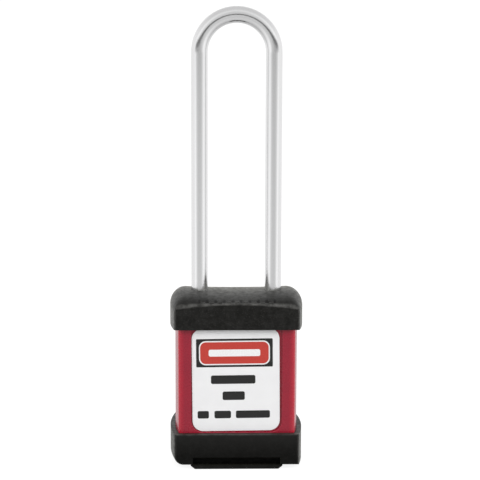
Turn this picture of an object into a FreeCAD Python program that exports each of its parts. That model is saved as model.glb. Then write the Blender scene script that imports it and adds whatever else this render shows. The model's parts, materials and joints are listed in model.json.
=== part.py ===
import FreeCAD, Part
import math
import os

import Sketcher

# Safety lockout padlock, key cylinder up the middle, two locking balls on the shackle legs.
# Millimetres. X across the body, -Y the front face, +Z up. The origin is under the middle of
# the lock, on the plane that it stands on.

V = FreeCAD.Vector
doc = FreeCAD.newDocument("safety_padlock")
sizes = doc.addObject("Spreadsheet::Sheet", "sizes")

DRIVING = [
    # shackle
    ("rod_dia", "4.76", "shackle rod, 3/16 inch"),
    ("leg_spacing", "21", "between the leg centres"),
    ("clearance_high", "76.2", "bow's inside above the top cover, 3 inch"),
    ("shackle_lift", "13", "travel when it opens"),
    ("toe_end", "37.8", "height of the toe leg's end"),
    ("toe_chamfer", "0.6", "bevel on that end"),
    ("neck_dia", "3", "turned neck of the heel leg"),
    ("shoulder_drop", "0.6", "full rod below the heel's ball notch"),
    ("foot_stop", "1.8", "heel foot's shoulder to the balls' level when the lift ends"),
    ("foot_low", "24.2", "end of the heel foot"),
    # body
    ("body_low", "3", "body's lower face"),
    ("body_high", "47.5", "body's top face"),
    ("body_depth", "20.5", "front face to back face"),
    ("body_flat", "32.8", "width of the flat front face"),
    ("body_width", "35", "width over the curved sides"),
    ("body_edge", "1.1", "radius of the body's upright edges"),
    ("cavity_width", "31", "inside of the body, across"),
    ("cavity_depth", "16.6", "inside of the body, front to back"),
    ("cavity_top", "45", "roof of the cavity"),
    ("cavity_corner", "1.6", "its upright corners"),
    ("recess_width", "25.74", "label recess"),
    ("recess_low", "10.5", "its lower edge"),
    ("recess_high", "45.2", "its upper edge, under the cover"),
    ("recess_deep", "0.6", "its depth"),
    ("recess_corner", "3.2", "its corners"),
    ("recess_lip", "0.25", "rounding of the recess's lip"),
    # covers
    ("cover_depth", "23.9", "covers, front to back"),
    ("cover_flat", "35.3", "width of their flat front face"),
    ("cover_width", "37.9", "width over their curved sides"),
    ("cover_fit", "0.05", "gap between covers and body"),
    ("top_rim", "40.6", "top cover's lower rim"),
    ("top_crown", "49.7", "crown between the legs"),
    ("crown_drop", "1.55", "crown's fall to the front edge"),
    ("top_corner", "4.2", "rounding of the shoulders"),
    ("face_corner", "1.5", "the same at the front and back faces"),
    ("arch_half", "15", "where the next two are measured, off the middle"),
    ("saddle_rise", "0.46", "crown's rise from the middle to the shoulders"),
    ("face_fall", "0.95", "fall of the front face's upper edge, middle to ends"),
    ("bottom_face", "1.2", "bottom cover's underside"),
    ("bottom_rim", "10.25", "bottom cover's upper rim"),
    ("bottom_corner", "2.6", "rounding of its lower corners"),
    ("cover_edge", "0.7", "rounding round the front and back faces"),
    ("leg_hole_gap", "0.06", "leg to its hole in the top cover"),
    ("rib_count", "9", "grip ribs on the crown"),
    ("rib_pitch", "2.4", "from rib to rib"),
    ("rib_wide", "1.3", "each rib, across"),
    ("rib_high", "0.22", "their height"),
    ("rib_front", "11.35", "their front ends"),
    ("rib_back", "8.8", "their back ends"),
    ("keyway_hole_dia", "11.2", "hole in the bottom cover"),
    ("scoop_width", "25", "finger scoop in its front"),
    ("scoop_radius", "3.4", "its hollow"),
    ("scoop_centre_out", "2", "hollow's centre, ahead of the face"),
    ("scoop_centre_high", "0.75", "hollow's centre, height"),
    # keyway flap
    ("flap_thick", "1.15", "flap plate"),
    ("flap_wide", "26.2", "its width at the top"),
    ("flap_bevel", "1.3", "slope of its ends"),
    ("flap_land", "0.1", "upright land over that slope"),
    ("flap_edge", "0.3", "rounding of its front edge"),
    ("flap_front", "11.9", "reach towards the front"),
    ("flap_back", "8.6", "reach towards the back"),
    ("seal_dia", "9.2", "plug on the flap"),
    ("seal_high", "2.6", "its top"),
    ("seal_taper", "0.4", "how much narrower its top is"),
    ("hinge_back", "10.2", "hinge axis behind the middle"),
    ("hinge_high", "1.25", "height of the hinge axis"),
    ("hinge_pin_dia", "1", "hinge pin"),
    ("hinge_barrel_dia", "2.2", "hinge knuckles"),
    ("hinge_gap", "0.1", "between knuckles"),
    ("knuckle_half", "3.9", "half length of the flap's knuckle"),
    ("lug_far", "8", "outer end of the cover's knuckles"),
    # labels
    ("label_width", "24.84", "label"),
    ("label_low", "10.8", "lower edge"),
    ("label_high", "40.6", "upper edge"),
    ("label_shift", "-0.24", "how far it sits off centre"),
    ("label_thick", "0.25", "thickness"),
    ("label_corner", "3", "corners"),
    ("front_tilt", "-0.6", "front label, degrees off square"),
    ("back_tilt", "0.3", "back label, degrees off square"),
    # lock works
    ("ball_dia", "4", "locking balls"),
    ("ball_level", "41.5", "height of the balls"),
    ("ball_locked", "7.42", "ball centre when locked"),
    ("toe_ball_open", "6.02", "toe ball centre when open"),
    ("heel_ball_open", "6.87", "heel ball centre when open"),
    ("ball_gap", "0.07", "ball to driver"),
    ("notch_radius", "2.15", "notches in the legs"),
    ("frame_low", "33.2", "lock frame's underside"),
    ("frame_high", "44.9", "lock frame's top"),
    ("block_width", "30.4", "frame and carrier, across"),
    ("block_depth", "16.1", "frame and carrier, front to back"),
    ("block_corner", "1.4", "their upright corners"),
    ("leg_gap", "0.08", "leg to its bore in the frame"),
    ("toe_bore_end", "36.6", "end of the toe bore"),
    ("chamber_dia", "11", "driver chamber"),
    ("driver_low", "32.5", "ball driver's underside"),
    ("driver_shaft_dia", "7.4", "its shaft"),
    ("cam_low", "39.4", "its cam, lower face"),
    ("cam_high", "43.5", "its cam, upper face"),
    ("cam_gap", "0.2", "cam to the chamber's roof"),
    # cylinder
    ("plate_thick", "1.8", "base plate"),
    ("nose_dia", "10.2", "cylinder's nose in the base plate"),
    ("cylinder_dia", "11.6", "cylinder shell"),
    ("cylinder_high", "31", "its top"),
    ("chimney_width", "4.5", "pin chimney"),
    ("chimney_top", "7.5", "its reach to the back"),
    ("chimney_margin", "3", "chimney below its first pin"),
    ("cap_thick", "0.55", "strip that closes the pin bores"),
    ("plug_dia", "8", "plug"),
    ("plug_head_dia", "8.9", "its head"),
    ("plug_face", "3.2", "face of the plug"),
    ("plug_head_high", "4.4", "top of its head"),
    ("plug_end", "32.3", "end of its round part"),
    ("running_gap", "0.05", "plug in its shell"),
    ("clip_low", "31.1", "retaining clip"),
    ("clip_thick", "0.7", "its thickness"),
    ("clip_dia", "9.8", "its outside"),
    ("groove_dia", "7", "groove that it sits in"),
    ("clip_gap", "0.03", "clip in its groove"),
    ("clip_opening", "3", "mouth of the clip"),
    ("tail_long", "5.2", "plug's tail, across"),
    ("tail_thick", "2", "plug's tail, thickness"),
    ("tail_end", "34.2", "end of the tail"),
    ("tail_play", "0.1", "tail in the driver's slot"),
    ("keyway_wide", "1.2", "keyway slots"),
    ("keyway_step", "0.6", "sideways step between them"),
    ("keyway_near", "-1.2", "near slot's start, across"),
    ("keyway_near_end", "1.2", "near slot's end"),
    ("keyway_far", "0.6", "far slot's start"),
    ("keyway_far_end", "3.3", "far slot's end"),
    ("keyway_end", "30.2", "top of the keyway"),
    ("pin_count", "6", "pin stacks"),
    ("pin_dia", "2.5", "pins"),
    ("pin_first", "9", "first stack"),
    ("pin_pitch", "3.8", "from stack to stack"),
    ("key_pin_foot", "0.2", "key pin's tip, past the plug's axis"),
    ("key_pin_tip", "0.6", "its cone"),
    ("key_pin_point", "0.55", "radius of the cone's point"),
    ("key_pin_crown", "0.25", "bevel at its outer end, so that it clears the shell"),
    ("key_pin_crown_radius", "0.6", "radius of that end"),
    ("key_pin_shortest", "2.6", "shortest key pin"),
    ("pin_hole_end", "0.35", "pin holes, past the plug's axis"),
    ("driver_pin_long", "1.6", "driver pins"),
    ("shear_gap", "0.02", "driver pin above the plug"),
    ("pin_spring_radius", "0.85", "pin springs, to the wire's centre"),
    ("pin_wire_dia", "0.28", "their wire"),
    ("pin_spring_pitch", "0.45", "their pitch"),
    ("spring_floor", "14", "floor of the heel spring's bore"),
    ("spring_bore_gap", "0.12", "heel foot in that bore"),
    ("spring_radius", "1.85", "heel spring, to the wire's centre"),
    ("spring_wire_dia", "0.5", "its wire"),
    ("spring_pitch", "1.6", "its pitch"),
    ("screw_across", "12.6", "screws off the middle, across"),
    ("screw_along", "5.6", "screws off the middle, front to back"),
    ("screw_dia", "2.2", "their shanks"),
    ("screw_head_dia", "4", "their heads"),
    ("screw_head_high", "1.05", "height of their heads"),
    ("screw_socket_deep", "0.7", "sockets in their heads"),
    ("screw_end", "38", "their ends, in the frame"),
    ("thread_spare", "0.5", "threaded hole beyond a screw's end"),
    ("hollow_far", "-13.2", "carrier's core-out, outer side"),
    ("hollow_near", "-7.6", "its inner side"),
    ("hollow_front", "-6", "its front side"),
    ("hollow_back", "2.6", "its back side"),
    ("hollow_top", "28", "its top"),
    ("seat_gap", "0.1", "between pieces of the works that sit together"),
    # cutting tools
    ("overshoot", "1", "how far a cut runs past what it cuts"),
    ("far", "60", "beyond the body, for cuts right through"),
]

for row, (alias, number, note) in enumerate(DRIVING, 1):
    sizes.set(f"A{row}", note)
    sizes.set(f"B{row}", number)
    sizes.setAlias(f"B{row}", alias)
doc.recompute()

# Turn from +Z, the way a primitive stands, to the axis that it lies along.
TURNS = {
    "Z": FreeCAD.Rotation(),
    "X": FreeCAD.Rotation(V(0, 1, 0), 90),
    "-X": FreeCAD.Rotation(V(0, 1, 0), -90),
    "Y": FreeCAD.Rotation(V(1, 0, 0), -90),
    "-Y": FreeCAD.Rotation(V(1, 0, 0), 90),
}
FAR = "sizes.far"
sub_parts = []


def size(formula):
    """The number that a formula on the sheet's names gives."""
    return float(sizes.evalExpression(formula))


def bound(kind, name, formulas):
    """A document object whose properties follow the sheet."""
    piece = doc.addObject(kind, name)
    for prop, formula in formulas.items():
        piece.setExpression(prop, formula)
    return piece


def placed(piece, x="0", y="0", z="0", along="Z"):
    piece.Placement = FreeCAD.Placement(V(), TURNS[along])
    for letter, formula in zip("xyz", (x, y, z)):
        piece.setExpression("Placement.Base." + letter, formula)
    return piece


def cylinder(name, radius, length, x="0", y="0", z="0", along="Z"):
    piece = bound("Part::Cylinder", name, {"Radius": radius, "Height": length})
    return placed(piece, x, y, z, along)


def cone(name, first, second, length, x="0", y="0", z="0", along="Z"):
    formulas = {"Radius1": first, "Radius2": second, "Height": length}
    return placed(bound("Part::Cone", name, formulas), x, y, z, along)


def sphere(name, radius, x="0", y="0", z="0"):
    return placed(bound("Part::Sphere", name, {"Radius": radius}), x, y, z)


def block(name, x_range, y_range, z_range):
    """A box between pairs of formulas."""
    spans = [f"({high}) - ({low})" for low, high in (x_range, y_range, z_range)]
    formulas = dict(zip(("Length", "Width", "Height"), spans))
    return placed(bound("Part::Box", name, formulas), x_range[0], y_range[0], z_range[0])


def across(width):
    """The two ends of a width that is centred on the axis."""
    return f"-({width}) / 2", f"({width}) / 2"


def joined(name, pieces):
    whole = doc.addObject("Part::MultiFuse", name)
    whole.Shapes = list(pieces)
    whole.Refine = True
    return whole


def shared(name, pieces):
    whole = doc.addObject("Part::MultiCommon", name)
    whole.Shapes = list(pieces)
    return whole


def less(name, base, tools):
    """The base with the tools cut away."""
    tool = tools[0] if len(tools) == 1 else joined(name + "_cuts", tools)
    whole = doc.addObject("Part::Cut", name)
    whole.Base = base
    whole.Tool = tool
    return whole


def rounded(name, base, radius, chosen):
    """Fillets on the edges of the base that the chosen() test accepts."""
    doc.recompute()
    r = size(radius)
    whole = doc.addObject("Part::Fillet", name)
    whole.Base = base
    edges = enumerate(base.Shape.Edges, 1)
    whole.Edges = [(number, r, r) for number, edge in edges if chosen(edge)]
    return whole


def finished(piece, label):
    piece.Label = label
    sub_parts.append(piece)
    return piece


def upright(edge):
    """Whether an edge runs straight up."""
    box = edge.BoundBox
    return box.ZLength > 0.5 and box.XLength < 1e-4 and box.YLength < 1e-4


def in_plane(edge, letter, level):
    """Whether an edge lies in the plane where that coordinate has the level."""
    box = edge.BoundBox
    low, high = getattr(box, letter + "Min"), getattr(box, letter + "Max")
    return abs(low - level) < 1e-3 and abs(high - level) < 1e-3


def new_body(label):
    return doc.addObject("PartDesign::Body", label)


def sketch_on(body, role, name, offset="0"):
    """A sketch on one of the body's own origin planes, moved along its normal."""
    sketch = body.newObject("Sketcher::SketchObject", name)
    planes = [plane for plane in body.Origin.OriginFeatures if plane.Role == role]
    sketch.AttachmentSupport = [(planes[0], "")]
    sketch.MapMode = "FlatFace"
    sketch.setExpression("AttachmentOffset.Base.z", offset)
    return sketch


def dimension(sketch, kind, where, name, formula):
    number = sketch.addConstraint(Sketcher.Constraint(kind, *where, size(formula)))
    sketch.renameConstraint(number, name)
    sketch.setExpression("Constraints." + name, formula)


def draw_circle(sketch, name, x, y, radius):
    centre = V(size(x), size(y), 0)
    ring = sketch.addGeometry(Part.Circle(centre, V(0, 0, 1), size(radius)))
    dimension(sketch, "Radius", (ring,), name + "_radius", radius)
    dimension(sketch, "DistanceX", (-1, 1, ring, 3), name + "_x", x)
    dimension(sketch, "DistanceY", (-1, 1, ring, 3), name + "_y", y)


def draw_rectangle(sketch, name, x_range, y_range):
    west, east = (size(formula) for formula in x_range)
    south, north = (size(formula) for formula in y_range)
    corners = [V(west, south), V(east, south), V(east, north), V(west, north)]
    sides = []
    for start, end in zip(corners, corners[1:] + corners[:1]):
        sides.append(sketch.addGeometry(Part.LineSegment(start, end)))
    for first, second in zip(sides, sides[1:] + sides[:1]):
        sketch.addConstraint(Sketcher.Constraint("Coincident", first, 2, second, 1))
    for number, kind in enumerate(("Horizontal", "Vertical", "Horizontal", "Vertical")):
        sketch.addConstraint(Sketcher.Constraint(kind, sides[number]))
    dimension(sketch, "DistanceX", (-1, 1, sides[0], 1), name + "_west", x_range[0])
    dimension(sketch, "DistanceX", (-1, 1, sides[0], 2), name + "_east", x_range[1])
    dimension(sketch, "DistanceY", (-1, 1, sides[0], 1), name + "_south", y_range[0])
    dimension(sketch, "DistanceY", (-1, 1, sides[2], 1), name + "_north", y_range[1])


def feature(body, kind, name, sketch, length, backwards=False):
    """A pad or pocket of a sketch. A pocket must take material away, a pad must add it."""
    doc.recompute()
    before = body.Shape.Volume if body.Tip else 0.0
    step = body.newObject("PartDesign::" + kind, name)
    step.Profile = sketch
    step.setExpression("Length", length)
    step.Reversed = backwards
    doc.recompute()
    change = body.Shape.Volume - before
    if (kind == "Pad") != (change > 0):
        raise RuntimeError(f"{name} changes the volume by {change}")
    return step


def patterned(body, step, name, axis_role, length, count):
    """The step repeated in a straight line."""
    pattern = body.newObject("PartDesign::LinearPattern", name)
    pattern.Originals = [step]
    axes = [axis for axis in body.Origin.OriginFeatures if axis.Role == axis_role]
    pattern.Direction = (axes[0], [""])
    pattern.setExpression("Length", length)
    pattern.setExpression("Occurrences", count)
    body.Tip = pattern
    doc.recompute()
    return pattern


# Formulas that several pieces share.
ROD = "sizes.rod_dia / 2"
LEG = "sizes.leg_spacing / 2"
BOW_LEVEL = f"sizes.top_crown + sizes.clearance_high - {LEG} + {ROD}"
FOOT_TOP = "(sizes.ball_level - sizes.foot_stop - sizes.shackle_lift)"
PLATE_TOP = "(sizes.body_low + sizes.plate_thick)"
PIN = "sizes.pin_dia / 2"
PIN_BORE = f"{PIN} + sizes.running_gap"
PIN_SPAN = "(sizes.pin_count - 1) * sizes.pin_pitch"
PLUG = "sizes.plug_dia / 2"
RECESS_FLOOR = "sizes.body_depth / 2 - sizes.recess_deep"
CHIMNEY_LOW = "sizes.pin_first - sizes.chimney_margin"
DRIVER_FOOT = f"{PLUG} + sizes.shear_gap"
BLOCK_X = across("sizes.block_width")
BLOCK_Y = across("sizes.block_depth")
SCREWS = [("-sizes.screw_across", "sizes.screw_along"), ("sizes.screw_across", "-sizes.screw_along")]


def barrel(name, depth, flat, width, low, high):
    """A prism with flat front and back faces and sides that bulge in an arc."""
    half, bulge = f"({depth}) / 2", f"(({width}) - ({flat})) / 2"
    radius = f"(({half})^2 + ({bulge})^2) / (2 * {bulge})"
    slab = block(name + "_slab", across(width), across(depth), (low, high))
    discs = []
    for side, sign in (("left", "-"), ("right", "")):
        # Each disc's far side is the bulging face.
        x = f"{sign}(({width}) / 2 - {radius})"
        tall = f"({high}) - ({low})"
        discs.append(cylinder(f"{name}_{side}", radius, tall, x=x, z=low))
    return shared(name, [slab] + discs)


def body_barrel(name, gap, low, high):
    """The body's outline, grown all round by the gap."""
    depth, flat, width = (f"sizes.body_{key} + 2 * {gap}" for key in ("depth", "flat", "width"))
    return barrel(name, depth, flat, width, low, high)


def leg_holes(name, radius, low, high):
    holes = []
    for side, sign in (("toe", "-"), ("heel", "")):
        length = f"({high}) - ({low})"
        holes.append(cylinder(f"{name}_{side}", radius, length, x=f"{sign}{LEG}", z=low))
    return holes


def body_shell():
    """The coloured body: a deep cup, open below, with a label recess front and back."""
    outside = body_barrel("shell_outside", "0", "sizes.body_low", "sizes.body_high")
    outside = rounded("shell_edges", outside, "sizes.body_edge", upright)
    cavity = block("shell_cavity", across("sizes.cavity_width"), across("sizes.cavity_depth"),
                   ("0", "sizes.cavity_top"))
    cavity = rounded("shell_cavity_corners", cavity, "sizes.cavity_corner", upright)
    tools = [cavity] + leg_holes("shell_hole", f"{ROD} + 2 * sizes.leg_hole_gap",
                                "sizes.top_rim", FAR)

    def across_the_face(edge):
        return edge.BoundBox.YLength > size("sizes.recess_deep")

    for side, sign in (("front", "-"), ("back", "")):
        ends = sorted([f"{sign}({RECESS_FLOOR})", f"{sign}sizes.body_depth"], key=size)
        recess = block(f"recess_{side}", across("sizes.recess_width"), ends,
                       ("sizes.recess_low", "sizes.recess_high"))
        corners = rounded(f"recess_{side}_corners", recess, "sizes.recess_corner",
                          across_the_face)
        tools.append(corners)
    shell = less("shell_cut", outside, tools)

    def recess_lip(edge):
        box = edge.BoundBox
        wide = size("sizes.recess_width / 2 + sizes.recess_lip")
        inside = max(abs(box.XMin), abs(box.XMax)) < wide
        faces = [size("sizes.body_depth") / 2, -size("sizes.body_depth") / 2]
        return inside and any(in_plane(edge, "Y", face) for face in faces)

    finished(rounded("body_shell", shell, "sizes.recess_lip", recess_lip), "body_shell")


def cap_section(back, raised=0.0):
    """The top cover's outline in the XZ plane at a distance behind the middle.

    In the middle the top dips between broad shoulders. Towards the front and the back it
    falls, turns into a slight arch, and its corners tighten. The top may be raised.
    """
    share = (back / size("sizes.cover_depth / 2")) ** 2
    bulge = size("(sizes.cover_width - sizes.cover_flat) / 2")
    wide = size("sizes.cover_width / 2") - bulge * share
    low = size("sizes.top_rim")
    top = size("sizes.top_crown") - size("sizes.crown_drop") * share + raised
    # The fall at arch_half off the middle. Below zero it is a dip, whose centre is above.
    fall = size("sizes.face_fall + sizes.saddle_rise") * share**3 - size("sizes.saddle_rise")
    arch = size("sizes.arch_half") ** 2 / (2 * fall)
    side = math.copysign(1, arch)
    corner = size("sizes.top_corner")
    corner += (size("sizes.face_corner") - corner) * share**2
    # The corner arc touches the upright side and the arc over the top.
    arch_centre = V(0, back, top - arch)
    inset = wide - corner
    corner_rise = side * math.sqrt((arch - corner) ** 2 - inset**2)
    corner_centre = arch_centre + V(inset, 0, corner_rise)
    outward = (corner_centre - arch_centre).normalize() * side
    side_end = corner_centre + V(corner, 0, 0)
    arch_end = corner_centre + outward * corner
    middle = (V(1, 0, 0) + outward).normalize()
    bend = corner_centre + middle * corner
    crest = V(0, back, top)

    def mirrored(point):
        return V(-point.x, point.y, point.z)

    right_foot = V(wide, back, low)
    edges = [
        Part.LineSegment(mirrored(right_foot), right_foot),
        Part.LineSegment(right_foot, side_end),
        Part.Arc(side_end, bend, arch_end),
        Part.Arc(arch_end, crest, mirrored(arch_end)),
        Part.Arc(mirrored(arch_end), mirrored(bend), mirrored(side_end)),
        Part.LineSegment(mirrored(side_end), mirrored(right_foot)),
    ]
    return Part.Wire([edge.toShape() for edge in edges])


def cap_loft(name, raised=0.0):
    face = size("sizes.cover_depth") / 2
    shares = (-1, -5 / 6, -2 / 3, -1 / 3, 0, 1 / 3, 2 / 3, 5 / 6, 1)
    sections = [cap_section(face * share, raised) for share in shares]
    loft = doc.addObject("Part::Feature", name)
    loft.Shape = Part.makeLoft(sections, True, False)
    return loft


def grip_ribs():
    """Low ribs across the front of the crown, each following its curve."""
    count = int(size("sizes.rib_count"))
    bars = []
    for number in range(count):
        middle = f"({number} - (sizes.rib_count - 1) / 2) * sizes.rib_pitch"
        sides = (f"{middle} - sizes.rib_wide / 2", f"{middle} + sizes.rib_wide / 2")
        bars.append(block(f"rib_bar_{number}", sides, ("-sizes.rib_front", "-sizes.rib_back"),
                          ("sizes.body_high", FAR)))
    return shared("grip_ribs", [cap_loft("raised_loft", size("sizes.rib_high")),
                                joined("rib_bars", bars)])


def top_cover():
    """The rubber cap: a saddle top, rounded shoulders, and a close hole for each leg."""
    face = size("sizes.cover_depth") / 2
    outside = cap_loft("cap_loft")

    def round_a_face(edge):
        front_or_back = any(in_plane(edge, "Y", level) for level in (-face, face))
        return front_or_back and not in_plane(edge, "Z", size("sizes.top_rim"))

    outside = rounded("cap_edges", outside, "sizes.cover_edge", round_a_face)
    outside = joined("cap_with_ribs", [outside, grip_ribs()])
    inside = body_barrel("cap_inside", "sizes.cover_fit", "sizes.bottom_rim",
                         "sizes.body_high + sizes.cover_fit")
    holes = leg_holes("cap_hole", f"{ROD} + sizes.leg_hole_gap", "sizes.top_rim", FAR)
    finished(less("top_cover", outside, [inside] + holes), "top_cover")


def bottom_cover():
    """The rubber boot: rounded lower corners, a finger scoop, and knuckles for the flap."""
    outside = barrel("boot_outside", "sizes.cover_depth", "sizes.cover_flat",
                     "sizes.cover_width", "sizes.bottom_face", "sizes.bottom_rim")
    low, face = size("sizes.bottom_face"), size("sizes.cover_depth") / 2

    def lower_side(edge):
        return in_plane(edge, "Z", low) and edge.BoundBox.YLength > face

    def round_a_face(edge):
        front_or_back = any(in_plane(edge, "Y", level) for level in (-face, face))
        return front_or_back and not in_plane(edge, "Z", size("sizes.bottom_rim"))

    outside = rounded("boot_corners", outside, "sizes.bottom_corner", lower_side)
    outside = rounded("boot_edges", outside, "sizes.cover_edge", round_a_face)
    knuckle = "sizes.hinge_barrel_dia / 2"
    lugs = []
    for side in ("left", "right"):
        start = "-sizes.lug_far" if side == "left" else "sizes.knuckle_half + sizes.hinge_gap"
        long = "sizes.lug_far - sizes.knuckle_half - sizes.hinge_gap"
        lugs.append(cylinder(f"boot_lug_{side}", knuckle, long, x=start, y="sizes.hinge_back",
                             z="sizes.hinge_high", along="X"))
    outside = joined("boot_with_lugs", [outside] + lugs)
    inside = body_barrel("boot_inside", "sizes.cover_fit", "sizes.body_low", "sizes.top_rim")
    keyway = cylinder("boot_keyway", "sizes.keyway_hole_dia / 2", "sizes.bottom_rim")
    scoop = cylinder("boot_scoop", "sizes.scoop_radius", "sizes.scoop_width",
                     x="-sizes.scoop_width / 2",
                     y="-sizes.cover_depth / 2 - sizes.scoop_centre_out",
                     z="sizes.scoop_centre_high", along="X")
    pocket = cylinder("boot_knuckle_pocket", f"{knuckle} + 1.5 * sizes.hinge_gap",
                      "2 * (sizes.knuckle_half + sizes.hinge_gap)",
                      x="-sizes.knuckle_half - sizes.hinge_gap",
                      y="sizes.hinge_back", z="sizes.hinge_high", along="X")
    pin = cylinder("boot_pin_bore", "sizes.hinge_pin_dia / 2",
                   "2 * (sizes.lug_far + sizes.overshoot)",
                   x="-sizes.lug_far - sizes.overshoot", y="sizes.hinge_back",
                   z="sizes.hinge_high", along="X")
    tools = [inside, keyway, scoop, pocket, pin]
    finished(less("bottom_cover", outside, tools), "bottom_cover")


def keyway_flap():
    """The rubber flap that keeps dirt out of the keyway, hinged along the back."""
    plate = block("flap_plate", across("sizes.flap_wide"), ("-sizes.flap_front", "sizes.flap_back"),
                  ("0", "sizes.flap_thick"))
    doc.recompute()
    bevel = doc.addObject("Part::Chamfer", "flap_bevels")
    bevel.Base = plate
    half = size("sizes.flap_wide") / 2
    ends = []
    for number, edge in enumerate(plate.Shape.Edges, 1):
        if in_plane(edge, "Z", 0) and any(in_plane(edge, "X", x) for x in (-half, half)):
            ends.append(number)
    across_cut = size("sizes.flap_bevel")
    up_cut = size("sizes.flap_thick - sizes.flap_land")
    bevel.Edges = [(number, up_cut, across_cut) for number in ends]
    doc.recompute()

    def lower_front(edge):
        return in_plane(edge, "Y", -size("sizes.flap_front")) and in_plane(edge, "Z", 0)

    plate = rounded("flap_front_edge", bevel, "sizes.flap_edge", lower_front)
    seal = cone("flap_seal", "sizes.seal_dia / 2", "sizes.seal_dia / 2 - sizes.seal_taper",
                "sizes.seal_high - sizes.flap_thick", z="sizes.flap_thick")
    knuckle = "sizes.hinge_barrel_dia / 2"
    roll = cylinder("flap_knuckle", knuckle, "2 * sizes.knuckle_half",
                    x="-sizes.knuckle_half", y="sizes.hinge_back", z="sizes.hinge_high",
                    along="X")
    neck = block("flap_neck", across("2 * sizes.knuckle_half"),
                 ("sizes.flap_back - sizes.overshoot", "sizes.hinge_back"),
                 ("sizes.hinge_high - sizes.hinge_barrel_dia / 2", "sizes.flap_thick"))
    whole = joined("flap_solid", [plate, seal, roll, neck])
    bore = cylinder("flap_bore", "sizes.hinge_pin_dia / 2 + sizes.running_gap",
                    "2 * (sizes.knuckle_half + sizes.overshoot)",
                    x="-sizes.knuckle_half - sizes.overshoot",
                    y="sizes.hinge_back", z="sizes.hinge_high", along="X")
    finished(less("keyway_flap", whole, [bore]), "keyway_flap")


def flap_hinge_pin():
    pin = cylinder("flap_hinge_pin", "sizes.hinge_pin_dia / 2",
                   "2 * (sizes.lug_far - sizes.hinge_gap)", x="-sizes.lug_far + sizes.hinge_gap",
                   y="sizes.hinge_back", z="sizes.hinge_high", along="X")
    finished(pin, "flap_hinge_pin")


def labels():
    """A laminated label in each recess. Each was stuck on by hand, a little off square."""

    def at_corner(edge):
        return edge.BoundBox.YLength > size("sizes.label_thick") / 2

    outer = f"{RECESS_FLOOR} + sizes.label_thick"
    for label, ends, tilt in (
        ("front_label", (f"-({outer})", f"-({RECESS_FLOOR})"), "sizes.front_tilt"),
        ("back_label", (RECESS_FLOOR, outer), "sizes.back_tilt"),
    ):
        plate = block(label + "_plate", across("sizes.label_width"), ends,
                      across("sizes.label_high - sizes.label_low"))
        sheet = rounded(label, plate, "sizes.label_corner", at_corner)
        sheet.Placement = FreeCAD.Placement(V(), FreeCAD.Rotation(V(0, 1, 0), size(tilt)))
        sheet.setExpression("Placement.Base.x", "sizes.label_shift")
        sheet.setExpression("Placement.Base.z", "(sizes.label_high + sizes.label_low) / 2")
        finished(sheet, label)


def shackle():
    """The bow and its legs: a chamfered toe, and a heel with a turned neck and a foot."""
    toe_x, heel_x = f"-{LEG}", LEG
    chamfer = "sizes.toe_chamfer"
    pieces = [
        cone("toe_tip", f"{ROD} - {chamfer}", ROD, chamfer, x=toe_x, z="sizes.toe_end"),
        cylinder("toe_leg", ROD, f"{BOW_LEVEL} - sizes.toe_end - {chamfer}", x=toe_x,
                 z=f"sizes.toe_end + {chamfer}"),
        cylinder("heel_foot", ROD, f"{FOOT_TOP} - sizes.foot_low", x=heel_x,
                 z="sizes.foot_low"),
        cylinder("heel_neck", "sizes.neck_dia / 2", f"sizes.ball_level - {FOOT_TOP}", x=heel_x,
                 z=FOOT_TOP),
        cylinder("heel_leg", ROD, f"{BOW_LEVEL} - sizes.ball_level + sizes.shoulder_drop",
                 x=heel_x, z="sizes.ball_level - sizes.shoulder_drop"),
    ]
    bow = bound("Part::Torus", "bow", {"Radius1": LEG, "Radius2": ROD})
    bow.Angle3 = 180
    bow.Placement = FreeCAD.Placement(V(), FreeCAD.Rotation(V(1, 0, 0), 90))
    bow.setExpression("Placement.Base.z", BOW_LEVEL)
    whole = joined("shackle_solid", pieces + [bow])
    notches = []
    for side, sign in (("toe", "-"), ("heel", "")):
        notches.append(cylinder(f"notch_{side}", "sizes.notch_radius", "2 * sizes.rod_dia",
                                x=f"{sign}sizes.ball_locked", y="-sizes.rod_dia",
                                z="sizes.ball_level", along="Y"))
    finished(less("shackle", whole, notches), "shackle")


def coil(name, radius, wire, pitch, length, x="0", y="0", z="0", along="Z"):
    """A helical spring from its start point along an axis."""
    formulas = {"Radius": radius, "Pitch": pitch, "Height": length}
    spine = bound("Part::Helix", name + "_helix", formulas)
    section = bound("Part::Circle", name + "_wire", {"Radius": wire})
    section.Placement = FreeCAD.Placement(V(), FreeCAD.Rotation(V(1, 0, 0), 90))
    section.setExpression("Placement.Base.x", radius)
    doc.recompute()
    spring = doc.addObject("Part::Sweep", name)
    spring.Sections = [section]
    spring.Spine = (spine, ["Edge1"])
    spring.Solid = True
    spring.Frenet = True
    doc.recompute()
    return finished(placed(spring, x, y, z, along), name)


def shackle_spring():
    """Pushes the heel leg up when the balls let go."""
    wire = "sizes.spring_wire_dia / 2"
    length = f"sizes.foot_low - sizes.spring_floor - 2 * ({wire} + sizes.running_gap)"
    coil("shackle_spring", "sizes.spring_radius", wire, "sizes.spring_pitch", length,
         x=LEG, z=f"sizes.spring_floor + {wire} + sizes.running_gap")


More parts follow.
